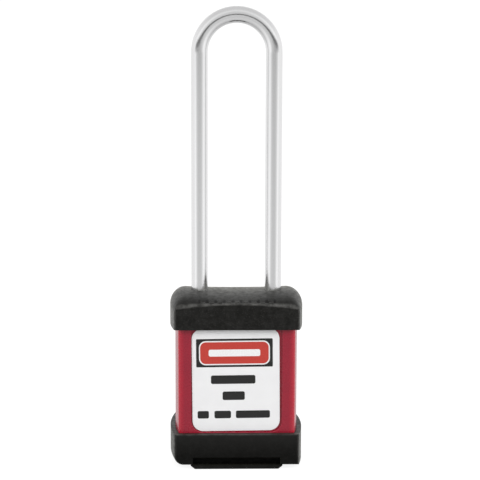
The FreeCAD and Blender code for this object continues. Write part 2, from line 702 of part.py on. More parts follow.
def lock_frame():
    """The steel block round the legs, with the ball channel and the driver's chamber."""
    body = new_body("lock_frame")
    outline = sketch_on(body, "XY_Plane", "frame_outline", "sizes.frame_low")
    draw_rectangle(outline, "outline", BLOCK_X, BLOCK_Y)
    feature(body, "Pad", "frame_pad", outline, "sizes.frame_high - sizes.frame_low")
    heel = sketch_on(body, "XY_Plane", "frame_heel_bore", "sizes.frame_high")
    draw_circle(heel, "heel", LEG, "0", f"{ROD} + sizes.leg_gap")
    feature(body, "Pocket", "frame_heel", heel, "sizes.frame_high - sizes.frame_low")
    toe = sketch_on(body, "XY_Plane", "frame_toe_bore", "sizes.frame_high")
    draw_circle(toe, "toe", f"-{LEG}", "0", f"{ROD} + sizes.leg_gap")
    feature(body, "Pocket", "frame_toe", toe, "sizes.frame_high - sizes.toe_bore_end")
    chamber = sketch_on(body, "XY_Plane", "frame_chamber", "sizes.frame_low")
    draw_circle(chamber, "chamber", "0", "0", "sizes.chamber_dia / 2")
    feature(body, "Pocket", "frame_chamber_cut", chamber,
            "sizes.cam_high + sizes.cam_gap - sizes.frame_low", backwards=True)
    channel = sketch_on(body, "YZ_Plane", "frame_channel", LEG)
    draw_circle(channel, "channel", "0", "sizes.ball_level",
                "sizes.ball_dia / 2 + sizes.running_gap")
    feature(body, "Pocket", "frame_channel_cut", channel, "sizes.leg_spacing")
    threads = sketch_on(body, "XY_Plane", "frame_threads", "sizes.frame_low")
    for number, (x, y) in enumerate(SCREWS):
        draw_circle(threads, f"thread_{number}", x, y, "sizes.screw_dia / 2")
    feature(body, "Pocket", "frame_thread_cut", threads,
            "sizes.screw_end + sizes.thread_spare - sizes.frame_low", backwards=True)
    round_corners(body, "frame_corners", "sizes.block_corner", BLOCK_X, BLOCK_Y)
    finished(body, "lock_frame")


def round_corners(body, name, radius, x_range, y_range):
    """A fillet on the four upright edges at a block's corners."""
    doc.recompute()
    west, north = abs(size(x_range[0])), abs(size(y_range[1]))
    names = []
    for number, edge in enumerate(body.Shape.Edges, 1):
        middle = edge.BoundBox.Center
        at_corner = abs(abs(middle.x) - west) < 1e-3 and abs(abs(middle.y) - north) < 1e-3
        if upright(edge) and at_corner:
            names.append(f"Edge{number}")
    last = body.Tip
    step = body.newObject("PartDesign::Fillet", name)
    step.Base = (last, names)
    step.setExpression("Radius", radius)
    doc.recompute()


def balls():
    sphere_size = "sizes.ball_dia / 2"
    level = "sizes.ball_level"
    toe = sphere("lock_ball_toe", sphere_size, x="-sizes.toe_ball_open", z=level)
    heel = sphere("lock_ball_heel", sphere_size, x="sizes.heel_ball_open", z=level)
    finished(toe, "lock_ball_toe")
    finished(heel, "lock_ball_heel")


# Points along each quarter of the driver's rim.
CAM_STEPS = 6


def cam_radius(angle_deg):
    """Distance from the driver's axis to its rim. Each quarter is a straight-line spiral."""
    back = size("sizes.ball_dia / 2 + sizes.ball_gap")
    lobe = size("sizes.ball_locked") - back
    toe = size("sizes.toe_ball_open") - back
    heel = size("sizes.heel_ball_open") - back
    corners = [heel, lobe, toe, lobe, heel]
    quarter, share = divmod(angle_deg / 90.0, 1.0)
    first = corners[int(quarter)]
    second = corners[min(int(quarter) + 1, 4)]
    return first + (second - first) * share


def ball_driver():
    """Turned by the plug's tail. Its cam holds the balls out, or lets them in."""
    low, high = size("sizes.cam_low"), size("sizes.cam_high")
    edges = []
    for quarter in range(4):
        points = []
        for step in range(CAM_STEPS + 1):
            angle = 90.0 * (quarter + step / CAM_STEPS)
            reach = cam_radius(angle)
            around = math.radians(angle)
            points.append(V(reach * math.cos(around), reach * math.sin(around), low))
        curve = Part.BSplineCurve()
        curve.interpolate(points)
        edges.append(curve.toShape())
    disc = Part.Face(Part.Wire(edges)).extrude(V(0, 0, high - low))
    cam = doc.addObject("Part::Feature", "driver_cam")
    cam.Shape = disc
    shaft = cylinder("driver_shaft", "sizes.driver_shaft_dia / 2",
                     "sizes.cam_low - sizes.driver_low", z="sizes.driver_low")
    slot = block("driver_slot", across("sizes.tail_long + 2 * sizes.tail_play"),
                 across("sizes.tail_thick + sizes.tail_play"),
                 ("sizes.driver_low - sizes.overshoot", "sizes.tail_end + sizes.tail_play"))
    whole = joined("driver_solid", [cam, shaft])
    finished(less("ball_driver", whole, [slot]), "ball_driver")


def cylinder_shell():
    """The key cylinder's housing: nose, barrel and the chimney for the driver pins."""
    body = new_body("cylinder_shell")
    nose = sketch_on(body, "XY_Plane", "nose_outline", "sizes.body_low + sizes.seat_gap")
    draw_circle(nose, "nose", "0", "0", "sizes.nose_dia / 2")
    feature(body, "Pad", "nose_pad", nose, "sizes.plate_thick + sizes.overshoot")
    tube = sketch_on(body, "XY_Plane", "tube_outline", f"{PLATE_TOP} + sizes.running_gap")
    draw_circle(tube, "tube", "0", "0", "sizes.cylinder_dia / 2")
    feature(body, "Pad", "tube_pad", tube,
            f"sizes.cylinder_high - {PLATE_TOP} - sizes.running_gap")
    chimney = sketch_on(body, "XY_Plane", "chimney_outline", CHIMNEY_LOW)
    draw_rectangle(chimney, "chimney", across("sizes.chimney_width"),
                   ("0", "sizes.chimney_top"))
    feature(body, "Pad", "chimney_pad", chimney, f"sizes.cylinder_high - ({CHIMNEY_LOW})")
    bore = sketch_on(body, "XY_Plane", "plug_bore", "sizes.body_low")
    draw_circle(bore, "bore", "0", "0", f"{PLUG} + sizes.running_gap")
    feature(body, "Pocket", "plug_bore_cut", bore, "sizes.cylinder_high", backwards=True)
    seat = sketch_on(body, "XY_Plane", "head_seat", "sizes.body_low")
    draw_circle(seat, "seat", "0", "0", "sizes.plug_head_dia / 2 + sizes.running_gap")
    feature(body, "Pocket", "head_seat_cut", seat,
            "sizes.plug_head_high + sizes.seat_gap - sizes.body_low", backwards=True)
    pins = sketch_on(body, "XZ_Plane", "driver_bore", f"sizes.overshoot / 2 - {PLUG}")
    draw_circle(pins, "pin", "0", "sizes.pin_first", PIN_BORE)
    first = feature(body, "Pocket", "driver_bore_cut", pins, "sizes.chimney_top")
    patterned(body, first, "driver_bores", "Z_Axis", PIN_SPAN, "sizes.pin_count")
    finished(body, "cylinder_shell")


def pin_bore_cap():
    """The strip over the chimney that holds the springs in."""
    body = new_body("pin_bore_cap")
    strip = sketch_on(body, "XY_Plane", "cap_outline", CHIMNEY_LOW)
    draw_rectangle(strip, "strip", across("sizes.chimney_width"),
                   ("sizes.chimney_top", "sizes.chimney_top + sizes.cap_thick"))
    feature(body, "Pad", "cap_pad", strip, f"sizes.cylinder_high - ({CHIMNEY_LOW})")
    finished(body, "pin_bore_cap")


def cylinder_plug():
    """The plug that the key turns, shown at its open stop, so its pin holes point to -X."""
    body = new_body("cylinder_plug")
    head = sketch_on(body, "XY_Plane", "head_outline", "sizes.plug_face")
    draw_circle(head, "head", "0", "0", "sizes.plug_head_dia / 2")
    feature(body, "Pad", "head_pad", head, "sizes.plug_head_high - sizes.plug_face")
    stem = sketch_on(body, "XY_Plane", "stem_outline", "sizes.plug_face")
    draw_circle(stem, "stem", "0", "0", PLUG)
    feature(body, "Pad", "stem_pad", stem, "sizes.plug_end - sizes.plug_face")
    tail = sketch_on(body, "XY_Plane", "tail_outline", "sizes.plug_face")
    draw_rectangle(tail, "tail", across("sizes.tail_long"), across("sizes.tail_thick"))
    feature(body, "Pad", "tail_pad", tail, "sizes.tail_end - sizes.plug_face")
    groove = sketch_on(body, "XY_Plane", "groove_outline", "sizes.clip_low - sizes.clip_gap")
    draw_circle(groove, "outer", "0", "0", f"{PLUG} + sizes.overshoot")
    draw_circle(groove, "inner", "0", "0", "sizes.groove_dia / 2")
    feature(body, "Pocket", "groove_cut", groove, "sizes.clip_thick + 2 * sizes.clip_gap",
            backwards=True)
    # The keyway steps sideways half way across, so that only its own key goes in.
    for part, middle in (("near", "sizes.keyway_step / 2"), ("far", "-sizes.keyway_step / 2")):
        start, end = f"sizes.keyway_{part}", f"sizes.keyway_{part}_end"
        sides = (f"{middle} - sizes.keyway_wide / 2", f"{middle} + sizes.keyway_wide / 2")
        slot = sketch_on(body, "XY_Plane", f"keyway_{part}", "sizes.plug_face")
        draw_rectangle(slot, "slot", (start, end), sides)
        feature(body, "Pocket", f"keyway_{part}_cut", slot, "sizes.keyway_end - sizes.plug_face",
                backwards=True)
    outside = f"{PLUG} + sizes.overshoot"
    hole = sketch_on(body, "YZ_Plane", "pin_hole", f"-({outside})")
    draw_circle(hole, "pin", "0", "sizes.pin_first", PIN_BORE)
    first = feature(body, "Pocket", "pin_hole_cut", hole, f"{outside} + sizes.pin_hole_end",
                    backwards=True)
    patterned(body, first, "pin_holes", "Z_Axis", PIN_SPAN, "sizes.pin_count")
    finished(body, "cylinder_plug")


def plug_clip():
    """A C-shaped clip in the plug's groove that stops it coming out of the front."""
    body = new_body("plug_clip")
    ring = sketch_on(body, "XY_Plane", "clip_outline", "sizes.clip_low")
    draw_circle(ring, "outer", "0", "0", "sizes.clip_dia / 2")
    draw_circle(ring, "inner", "0", "0", "sizes.groove_dia / 2 + sizes.clip_gap")
    feature(body, "Pad", "clip_pad", ring, "sizes.clip_thick")
    mouth = sketch_on(body, "XY_Plane", "clip_mouth", "sizes.clip_low")
    draw_rectangle(mouth, "mouth", across("sizes.clip_opening"), ("0", "sizes.clip_dia"))
    feature(body, "Pocket", "clip_mouth_cut", mouth, "sizes.clip_thick", backwards=True)
    finished(body, "plug_clip")


# How much longer each key pin is than the shortest: the lock's combination.
KEY_PIN_STEPS = (0.4, 0.8, 0.2, 1.0, 0.0, 0.6)


def pin_stacks():
    """Six stacks: a key pin in the plug, a driver pin and a spring in the chimney."""
    for number, extra in enumerate(KEY_PIN_STEPS, 1):
        level = f"sizes.pin_first + {number - 1} * sizes.pin_pitch"
        long = f"sizes.key_pin_shortest + {extra}"
        stem_end = f"sizes.key_pin_foot - ({long}) + sizes.key_pin_crown"
        tip = cone(f"key_tip_{number}", "sizes.key_pin_point", PIN, "sizes.key_pin_tip",
                   x="sizes.key_pin_foot", z=level, along="-X")
        stem = cylinder(f"key_stem_{number}", PIN,
                        f"{long} - sizes.key_pin_tip - sizes.key_pin_crown",
                        x="sizes.key_pin_foot - sizes.key_pin_tip", z=level, along="-X")
        crown = cone(f"key_crown_{number}", PIN, "sizes.key_pin_crown_radius",
                     "sizes.key_pin_crown", x=stem_end, z=level, along="-X")
        key_pin = joined(f"key_pin_{number}", [tip, stem, crown])
        finished(key_pin, f"key_pin_{number}")
        driver = cylinder(f"driver_pin_{number}", PIN, "sizes.driver_pin_long", y=DRIVER_FOOT,
                          z=level, along="Y")
        finished(driver, f"driver_pin_{number}")
        wire = "sizes.pin_wire_dia / 2"
        start = f"{DRIVER_FOOT} + sizes.driver_pin_long + {wire} + sizes.shear_gap"
        length = f"sizes.chimney_top - ({start}) - {wire} - sizes.shear_gap"
        coil(f"pin_spring_{number}", "sizes.pin_spring_radius", wire, "sizes.pin_spring_pitch",
             length, y=start, z=level, along="Y")


def core_carrier():
    """The moulded block that holds the cylinder and the heel spring."""
    low, high = f"{PLATE_TOP} + sizes.running_gap", "sizes.frame_low - sizes.seat_gap"
    solid = block("carrier_block", BLOCK_X, BLOCK_Y, (low, high))
    solid = rounded("carrier_corners", solid, "sizes.block_corner", upright)
    shoulder = "sizes.cylinder_high + sizes.seat_gap"
    screw_hole = "sizes.screw_dia / 2 + sizes.seat_gap"
    tools = [
        cylinder("carrier_pocket", "sizes.cylinder_dia / 2 + sizes.seat_gap", shoulder),
        cylinder("carrier_throat", "sizes.clip_dia / 2 + 3 * sizes.seat_gap", FAR),
        block("carrier_slot", across("sizes.chimney_width + 2 * sizes.seat_gap"),
              ("0", "sizes.block_depth"), ("0", shoulder)),
        cylinder("carrier_spring_bore", f"{ROD} + sizes.spring_bore_gap", FAR, x=LEG,
                 z="sizes.spring_floor"),
        block("carrier_hollow", ("sizes.hollow_far", "sizes.hollow_near"),
              ("sizes.hollow_front", "sizes.hollow_back"), ("0", "sizes.hollow_top")),
    ]
    for number, (x, y) in enumerate(SCREWS):
        tools.append(cylinder(f"carrier_screw_{number}", screw_hole, FAR, x=x, y=y))
    finished(less("core_carrier", solid, tools), "core_carrier")


def base_plate():
    """Closes the body under the works. The cylinder's nose stands in its hole."""
    body = new_body("base_plate")
    outline = sketch_on(body, "XY_Plane", "plate_outline", "sizes.body_low")
    draw_rectangle(outline, "plate", BLOCK_X, BLOCK_Y)
    feature(body, "Pad", "plate_pad", outline, "sizes.plate_thick")
    nose = sketch_on(body, "XY_Plane", "plate_nose", PLATE_TOP)
    draw_circle(nose, "nose", "0", "0", "sizes.nose_dia / 2 + sizes.seat_gap")
    feature(body, "Pocket", "plate_nose_cut", nose, "sizes.plate_thick")
    for part, radius, depth in (
        ("shank", "sizes.screw_dia / 2 + sizes.seat_gap", "sizes.plate_thick"),
        ("head", "sizes.screw_head_dia / 2 + sizes.seat_gap",
         "sizes.screw_head_high + sizes.seat_gap"),
    ):
        holes = sketch_on(body, "XY_Plane", f"plate_{part}", "sizes.body_low")
        for number, (x, y) in enumerate(SCREWS):
            draw_circle(holes, f"{part}_{number}", x, y, radius)
        feature(body, "Pocket", f"plate_{part}_cut", holes, depth, backwards=True)
    round_corners(body, "plate_corners", "sizes.block_corner", BLOCK_X, BLOCK_Y)
    finished(body, "base_plate")


def base_screws():
    """Two long screws, up through plate and carrier into the frame."""
    screws = []
    head_low = "sizes.body_low + sizes.running_gap"
    for number, (x, y) in enumerate(SCREWS):
        head = cylinder(f"screw_head_{number}", "sizes.screw_head_dia / 2",
                        "sizes.screw_head_high", x=x, y=y, z=head_low)
        shank = cylinder(f"screw_shank_{number}", "sizes.screw_dia / 2",
                         f"sizes.screw_end - ({head_low})", x=x, y=y, z=head_low)
        socket = doc.addObject("Part::Prism", f"screw_socket_{number}")
        socket.Polygon = 6
        socket.setExpression("Circumradius", "sizes.screw_dia / 2")
        socket.setExpression("Height", "sizes.screw_socket_deep")
        placed(socket, x=x, y=y, z=head_low)
        solid = joined(f"screw_solid_{number}", [head, shank])
        screws.append(less(f"screw_{number}", solid, [socket]))
    pair = doc.addObject("Part::Compound", "base_screws")
    pair.Links = screws
    finished(pair, "base_screws")


for build in (
    body_shell, top_cover, bottom_cover, keyway_flap, flap_hinge_pin, labels, shackle,
    shackle_spring, lock_frame, balls, ball_driver, cylinder_shell, pin_bore_cap, cylinder_plug,
    plug_clip, pin_stacks, core_carrier, base_plate, base_screws,
):
    build()
doc.recompute()

for thing in doc.Objects:
    if "Invalid" in thing.State or "Error" in thing.State:
        raise RuntimeError(f"{thing.Label} failed: {thing.State}")
for piece in sub_parts:
    shape = piece.Shape
    if shape.isNull() or not shape.isValid() or not shape.Solids:
        raise RuntimeError(f"{piece.Label} has no valid solid")

os.makedirs("parts", exist_ok=True)
for piece in sub_parts:
    piece.Shape.exportStep(f"parts/{piece.Label}.step")
    box = piece.Shape.BoundBox
    print(
        f"{piece.Label:18} solids {len(piece.Shape.Solids)} volume {piece.Shape.Volume:9.2f}"
        f"  x {box.XMin:7.2f} {box.XMax:7.2f}  y {box.YMin:7.2f} {box.YMax:7.2f}"
        f"  z {box.ZMin:7.2f} {box.ZMax:7.2f}"
    )
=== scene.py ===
import json
import math

import bmesh
import bpy
from mathutils import Matrix, Vector


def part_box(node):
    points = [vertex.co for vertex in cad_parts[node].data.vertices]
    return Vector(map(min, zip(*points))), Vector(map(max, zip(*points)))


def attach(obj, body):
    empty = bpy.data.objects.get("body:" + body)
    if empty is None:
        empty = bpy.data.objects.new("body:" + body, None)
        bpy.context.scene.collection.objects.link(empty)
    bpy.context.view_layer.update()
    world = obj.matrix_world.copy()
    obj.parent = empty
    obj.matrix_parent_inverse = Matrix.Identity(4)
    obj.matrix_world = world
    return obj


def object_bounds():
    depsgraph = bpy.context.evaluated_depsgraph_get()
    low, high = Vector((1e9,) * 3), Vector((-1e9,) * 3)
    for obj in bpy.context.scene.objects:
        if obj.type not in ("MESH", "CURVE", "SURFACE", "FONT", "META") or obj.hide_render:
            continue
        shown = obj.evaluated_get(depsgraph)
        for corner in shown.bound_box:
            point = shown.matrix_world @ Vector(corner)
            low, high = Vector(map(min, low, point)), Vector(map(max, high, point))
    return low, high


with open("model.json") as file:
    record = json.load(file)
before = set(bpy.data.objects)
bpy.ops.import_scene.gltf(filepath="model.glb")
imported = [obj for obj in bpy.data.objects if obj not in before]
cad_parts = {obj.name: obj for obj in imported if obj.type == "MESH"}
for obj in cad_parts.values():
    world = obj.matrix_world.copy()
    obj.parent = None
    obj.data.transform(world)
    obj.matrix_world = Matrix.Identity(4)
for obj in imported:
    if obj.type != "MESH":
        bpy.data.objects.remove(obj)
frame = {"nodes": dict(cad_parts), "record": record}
cad_low, cad_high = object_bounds()
MM = 0.001


class NodeWeb:
    """A tree of shader nodes, with short words for what is added to it."""

    def __init__(self, tree):
        self.tree = tree

    def node(self, kind):
        return self.tree.nodes.new(f"ShaderNode{kind}")

    def link(self, source, target):
        self.tree.links.new(source, target)

    def axes(self, vector):
        """The three parts of a vector."""
        split = self.node("SeparateXYZ")
        self.link(vector, split.inputs[0])
        return split.outputs

    def span(self, value, low, high, from_low=0.0, from_high=1.0):
        """Takes a value from one range to another and stops at the ends."""
        node = self.node("MapRange")
        node.inputs["From Min"].default_value = from_low
        node.inputs["From Max"].default_value = from_high
        node.inputs["To Min"].default_value = low
        node.inputs["To Max"].default_value = high
        self.link(value, node.inputs["Value"])
        return node.outputs["Result"]

    def maths(self, operation, first, second=None):
        node = self.node("Math")
        node.operation = operation
        for socket, value in zip(node.inputs, (first, second)):
            if isinstance(value, (int, float)):
                socket.default_value = value
            elif value is not None:
                self.link(value, socket)
        return node.outputs[0]

    def product(self, first, *others):
        for other in others:
            first = self.maths("MULTIPLY", first, other)
        return first


# Studio: a pale floor, a white surround that is a little dimmer in front, and soft lamps.

CAMERA_FAR = 0.4993
CAMERA_TURN = -1.46
CAMERA_LIFT = 9.91
CAMERA_ROLL = 0.19
CAMERA_LENS = 131.1
CAMERA_FILM = 36
AIM_ASIDE = 1.05 * MM
AIM_BELOW_MIDDLE = 1.04 * MM


def place_camera():
    """Looks at the middle of the lock, a little from the left and from above."""
    middle = (cad_low + cad_high) / 2
    aim = middle + Vector((AIM_ASIDE, 0, -AIM_BELOW_MIDDLE))
    turn, lift = math.radians(CAMERA_TURN), math.radians(CAMERA_LIFT)
    back = Vector((math.sin(turn) * math.cos(lift), -math.cos(turn) * math.cos(lift), math.sin(lift)))
    data = bpy.data.cameras.new("camera")
    data.lens = CAMERA_LENS
    data.sensor_width = CAMERA_FILM
    camera = bpy.data.objects.new("camera", data)
    camera.rotation_mode = "QUATERNION"
    roll = Matrix.Rotation(math.radians(CAMERA_ROLL), 4, "Z").to_quaternion()
    camera.rotation_quaternion = (-back).to_track_quat("-Z", "Y") @ roll
    camera.location = aim + back * CAMERA_FAR
    bpy.context.scene.collection.objects.link(camera)
    bpy.context.scene.camera = camera


LAMP_ASIDE, LAMP_AHEAD, LAMP_HIGH = 0.75, 0.50, 0.32
LAMP_SIZE = 0.5
LEFT_LAMP_POWER = 3.7
RIGHT_LAMP_POWER = 4.6
LABEL_LEVEL = 0.04


def soft_lamp(name, aside, power):
    """A square panel in front of the lock, turned to its label. It doesn't show in the steel."""
    data = bpy.data.lights.new(name, "AREA")
    data.shape = "RECTANGLE"
    data.size = data.size_y = LAMP_SIZE
    data.energy = power
    lamp = bpy.data.objects.new(name, data)
    place = Vector((aside, -LAMP_AHEAD, LAMP_HIGH))
    lamp.location = place
    lamp.visible_glossy = False
    lamp.rotation_mode = "QUATERNION"
    lamp.rotation_quaternion = (Vector((0, 0, LABEL_LEVEL)) - place).to_track_quat("-Z", "Y")
    bpy.context.scene.collection.objects.link(lamp)


# How bright the surround is from straight in front (0) over the sides (0.5) to the back (1).
SURROUND_FROM_THE_FRONT = ((0.0, 0.57), (0.05, 0.62), (0.21, 1.0), (0.42, 0.80), (1.0, 0.85))
SURROUND_POWER = 1.2
# Heights in the surround are the sine of the angle above the horizon.
CEILING_LOW, CEILING_HIGH = 0.25, 0.85
CEILING_SHARE = 0.74
TABLE_LOW, TABLE_HIGH = -0.8, -0.25
TABLE_SHARE = 0.65
GAP_LOW, GAP_HIGH = -0.005, 0.165
GAP_LOW_EDGE = (-0.04, 0.02)
GAP_HIGH_EDGE = (-0.03, 0.03)
GAP_SIDES = (-0.65, -0.35)
GAP_SHARE = 0.05


def surround():
    """White where the camera sees it. As light it is a room: dimmer in front, with two broad
    panels at the sides, and a dark gap in front between the table and the ceiling."""
    world = bpy.data.worlds.new("surround")
    world.use_nodes = True
    web = NodeWeb(world.node_tree)
    web.tree.nodes.clear()
    _, depth, height = web.axes(web.node("TexCoord").outputs["Generated"])
    ramp = web.node("ValToRGB")
    stops = ramp.color_ramp.elements
    while len(stops) < len(SURROUND_FROM_THE_FRONT):
        stops.new(0.5)
    for stop, (position, level) in zip(stops, SURROUND_FROM_THE_FRONT):
        stop.position = position
        stop.color = (level, level, level, 1)
    web.link(web.span(depth, 0, 1, -1, 1), ramp.inputs["Fac"])
    ceiling = web.span(height, 1, CEILING_SHARE, CEILING_LOW, CEILING_HIGH)
    table = web.span(height, TABLE_SHARE, 1, TABLE_LOW, TABLE_HIGH)
    above = web.span(height, 0, 1, *(GAP_LOW + edge for edge in GAP_LOW_EDGE))
    under = web.span(height, 1, 0, *(GAP_HIGH + edge for edge in GAP_HIGH_EDGE))
    gap = web.product(above, under, web.span(depth, 1, 0, *GAP_SIDES))
    power = web.product(ceiling, table, web.span(gap, 1, GAP_SHARE), SURROUND_POWER)
    lit, seen = web.node("Background"), web.node("Background")
    web.link(ramp.outputs["Color"], lit.inputs["Color"])
    web.link(power, lit.inputs["Strength"])
    seen.inputs["Color"].default_value = (1, 1, 1, 1)
    choice = web.node("MixShader")
    web.link(web.node("LightPath").outputs["Is Camera Ray"], choice.inputs["Fac"])
    web.link(lit.outputs["Background"], choice.inputs[1])
    web.link(seen.outputs["Background"], choice.inputs[2])
    web.link(choice.outputs["Shader"], web.node("OutputWorld").inputs["Surface"])
    bpy.context.scene.world = world


FLOOR_RADIUS = 6.0
FLOOR_GREY = 0.42
FLOOR_SEEN_GREY = 0.25
FLOOR_SEEN_GLOW = 0.86


def floor_paint():
    """The camera sees it lit up, and the lock sees a dimmer paint."""
    material = bpy.data.materials.new("floor_paint")
    material.use_nodes = True
    web = NodeWeb(material.node_tree)
    web.tree.nodes.clear()
    dim, pale, glow = web.node("BsdfDiffuse"), web.node("BsdfDiffuse"), web.node("Emission")
    dim.inputs["Color"].default_value = (FLOOR_GREY, FLOOR_GREY, FLOOR_GREY, 1)
    pale.inputs["Color"].default_value = (FLOOR_SEEN_GREY, FLOOR_SEEN_GREY, FLOOR_SEEN_GREY, 1)
    glow.inputs["Strength"].default_value = FLOOR_SEEN_GLOW
    both, choice = web.node("AddShader"), web.node("MixShader")
    web.link(pale.outputs[0], both.inputs[0])
    web.link(glow.outputs[0], both.inputs[1])
    web.link(web.node("LightPath").outputs["Is Camera Ray"], choice.inputs["Fac"])
    web.link(dim.outputs[0], choice.inputs[1])
    web.link(both.outputs[0], choice.inputs[2])
    web.link(choice.outputs[0], web.node("OutputMaterial").inputs["Surface"])
    return material


def floor():
    mesh = bmesh.new()
    bmesh.ops.create_circle(mesh, cap_ends=True, segments=96, radius=FLOOR_RADIUS)
    data = bpy.data.meshes.new("floor")
    mesh.to_mesh(data)
    mesh.free()
    data.materials.append(floor_paint())
    plane = bpy.data.objects.new("floor", data)
    plane.visible_glossy = False
    bpy.context.scene.collection.objects.link(plane)


def studio():
    bpy.context.scene.view_settings.view_transform = "Standard"
    surround()
    floor()
    soft_lamp("lamp_left", -LAMP_ASIDE, LEFT_LAMP_POWER)
    soft_lamp("lamp_right", LAMP_ASIDE, RIGHT_LAMP_POWER)
    place_camera()


# Finishes. Each is one shader with its grain worked out from the piece's own place. Noise
# scales are in waves per metre, and a bump's height is in metres.


class Finish(NodeWeb):
    """A material under construction. It starts plain, and its patterns take over from there."""

    def __init__(self, name, colour, roughness, metallic=0.0, ior=1.5):
        self.material = bpy.data.materials.new(name)
        self.material.use_nodes = True
        super().__init__(self.material.node_tree)
        self.shader = self.tree.nodes["Principled BSDF"]
        self.shader.inputs["Base Color"].default_value = (*colour, 1)
        self.shader.inputs["Roughness"].default_value = roughness
        self.shader.inputs["Metallic"].default_value = metallic
        self.shader.inputs["IOR"].default_value = ior
        self.here = self.node("TexCoord").outputs["Object"]
        self.last_bump = None

    def noise(self, scale, detail=2.0, rough=0.5, where=None):
        node = self.node("TexNoise")
        node.inputs["Scale"].default_value = scale
        node.inputs["Detail"].default_value = detail
        node.inputs["Roughness"].default_value = rough
        self.link(self.here if where is None else where, node.inputs["Vector"])
        return node.outputs["Fac"]

    def vary_roughness(self, value, smooth, rough, from_low=0.3, from_high=0.7):
        self.link(self.span(value, smooth, rough, from_low, from_high),
                  self.shader.inputs["Roughness"])

    def vary_colour(self, value, dark, light, from_low=0.3, from_high=0.7):
        """Between two colours as the value goes across its range."""
        mix = self.node("Mix")
        mix.data_type = "RGBA"
        first, second = [socket for socket in mix.inputs if socket.type == "RGBA"]
        first.default_value = (*dark, 1)
        second.default_value = (*light, 1)
        self.link(self.span(value, 0, 1, from_low, from_high), mix.inputs["Factor"])
        blend = [socket for socket in mix.outputs if socket.type == "RGBA"][0]
        self.link(blend, self.shader.inputs["Base Color"])

    def bump(self, value, height, strength=0.5):
        """Relief of that height, on top of any that came before."""
        node = self.node("Bump")
        node.inputs["Strength"].default_value = strength
        node.inputs["Distance"].default_value = height
        self.link(value, node.inputs["Height"])
        if self.last_bump:
            self.link(self.last_bump, node.inputs["Normal"])
        self.last_bump = node.outputs["Normal"]
        self.link(self.last_bump, self.shader.inputs["Normal"])


CRIMSON = (0.282, 0.011, 0.029)
CRIMSON_DARK = (0.262, 0.0100, 0.0270)
# The lit end is the colour of the painted highlight on the body's upright edges.
CRIMSON_PAINTED_HIGHLIGHT = (0.620, 0.0160, 0.0370)


def crimson_plastic():
    """Satin moulded body: spark-eroded grain, faint flow clouds, and a painted highlight along the
    upright edges of its front and back faces.
    """
    finish = Finish("crimson_plastic", CRIMSON, 0.27, ior=1.48)
    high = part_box("body_shell")[1]
    x, y, _ = finish.axes(finish.here)
    aside, out = finish.maths("ABSOLUTE", x), finish.maths("ABSOLUTE", y)
    # Painted highlight: where the front and back faces round into the sides, the colour turns towards
    # the lit crimson. light is the flow clouds plus this painted highlight.
    painted_highlight_side = finish.span(aside, 0, 0.45, high.x - 2.7 * MM, high.x - 1.1 * MM)
    painted_highlight_face = finish.span(out, 0, 1, high.y - 2.2 * MM, high.y - 0.6 * MM)
    clouds = finish.span(finish.noise(160, 3), 0, 0.10, 0.3, 0.7)
    light = finish.maths("ADD", clouds, finish.product(painted_highlight_side, painted_highlight_face))
    finish.vary_colour(light, CRIMSON_DARK, CRIMSON_PAINTED_HIGHLIGHT, 0, 1)
    finish.vary_roughness(finish.noise(900, 4), smooth=0.24, rough=0.31)
    finish.bump(finish.noise(5200), height=0.010 * MM)
    return finish.material


RUBBER_TINT = (1.0, 0.985, 0.95)
RUBBER_SHINE_TINT = (1, 0.99, 0.92, 1)
RUBBER_SHEEN = 0.15
RUBBER_SHEEN_SPREAD = 0.22
RUBBER_SHEEN_TINT = (1, 0.98, 0.72, 1)
CAP_GREY = 0.0015
BOOT_GREY = 0.0008
FLAP_GREY = 0.0012


def moulded_rubber(name, grey, roughness, ior):
    """Matt black elastomer with a leathery grain."""
    finish = Finish(name, (grey, grey, grey), roughness, ior=ior)
    finish.shader.inputs["Specular Tint"].default_value = RUBBER_SHINE_TINT
    finish.shader.inputs["Sheen Weight"].default_value = RUBBER_SHEEN
    finish.shader.inputs["Sheen Roughness"].default_value = RUBBER_SHEEN_SPREAD
    finish.shader.inputs["Sheen Tint"].default_value = RUBBER_SHEEN_TINT
    finish.bump(finish.noise(420, 3), height=0.06 * MM)
    finish.bump(finish.noise(2300, 4, 0.6), height=0.03 * MM, strength=0.6)
    finish.vary_roughness(finish.noise(900, 5, 0.6), roughness - 0.10, roughness + 0.14)
    return finish


def dust(finish, level):
    """A mottled bloom and fine specks on the rubber. The level is the bloom's own grey."""
    bloom = finish.span(finish.noise(700, 5, 0.65), 0, level, 0.40, 0.72)
    specks = finish.span(finish.noise(3200, 3, 0.7), 0, 3 * level, 0.56, 0.74)
    return finish.maths("ADD", bloom, specks)


def rubber_colour(finish, grey, *extras):
    """The clean rubber's grey plus what the extras add: dust, a painted edge highlight, and on the
    bottom cover a painted shade that makes it darker towards the bottom.
    """
    total = grey
    for extra in extras:
        total = finish.maths("ADD", extra, total)
    join = finish.node("CombineColor")
    for socket, tint in zip(join.inputs, RUBBER_TINT):
        finish.link(finish.maths("MULTIPLY", total, tint), socket)
    finish.link(join.outputs[0], finish.shader.inputs["Base Color"])
    return finish.material


